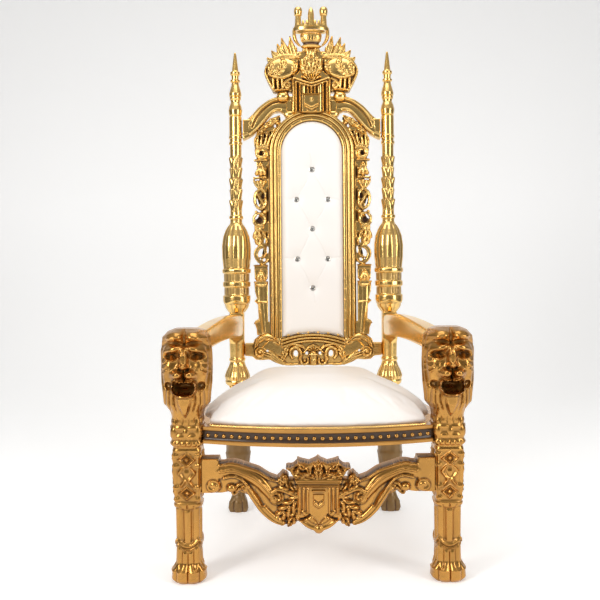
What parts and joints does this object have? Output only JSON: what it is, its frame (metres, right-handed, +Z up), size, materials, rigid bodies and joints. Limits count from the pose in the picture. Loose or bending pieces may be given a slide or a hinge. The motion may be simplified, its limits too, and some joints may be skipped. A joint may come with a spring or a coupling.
{
  "type": "throne",
  "caption": "Carved gilded throne with lion-head front legs, turned back posts, a tall arched upholstered back with a crown crest, and a padded seat.",
  "frame": {"origin": "centre of the base of the whole object's box, on the floor", "axes": "+Z up, -Y the way the seat faces, X across the plane of symmetry"},
  "size_m": [0.8748, 0.7972, 1.828],
  "materials": {
    "carved_gold": "gold leaf over carved hardwood, polished, bright",
    "carved_gold_low": "gold leaf over carved hardwood, deeper in tone, brown in the hollows",
    "white_leatherette": "white leatherette, soft sheen",
    "crystal": "cut clear crystal buttons"
  },
  "bodies": {
    "root": {"front_leg_left": "carved_gold_low", "front_leg_right": "carved_gold_low", "arm_left": "carved_gold", "arm_right": "carved_gold", "back_post_left": "carved_gold", "back_post_right": "carved_gold", "seat_rail_front": "carved_gold_low", "seat_rail_left": "carved_gold_low", "seat_rail_right": "carved_gold_low", "seat_rail_back": "carved_gold_low", "front_apron": "carved_gold_low", "seat_cushion": "white_leatherette", "lower_rail": "carved_gold", "back_frame": "carved_gold", "fret_left": "carved_gold", "fret_right": "carved_gold", "crest_rail": "carved_gold", "cartouche": "carved_gold", "crown": "carved_gold", "back_pad": "white_leatherette", "rear_panel": "white_leatherette", "button_1": "crystal", "button_2": "crystal", "button_3": "crystal", "button_4": "crystal", "button_5": "crystal", "button_6": "crystal", "button_7": "crystal"}
  },
  "joints": []
}
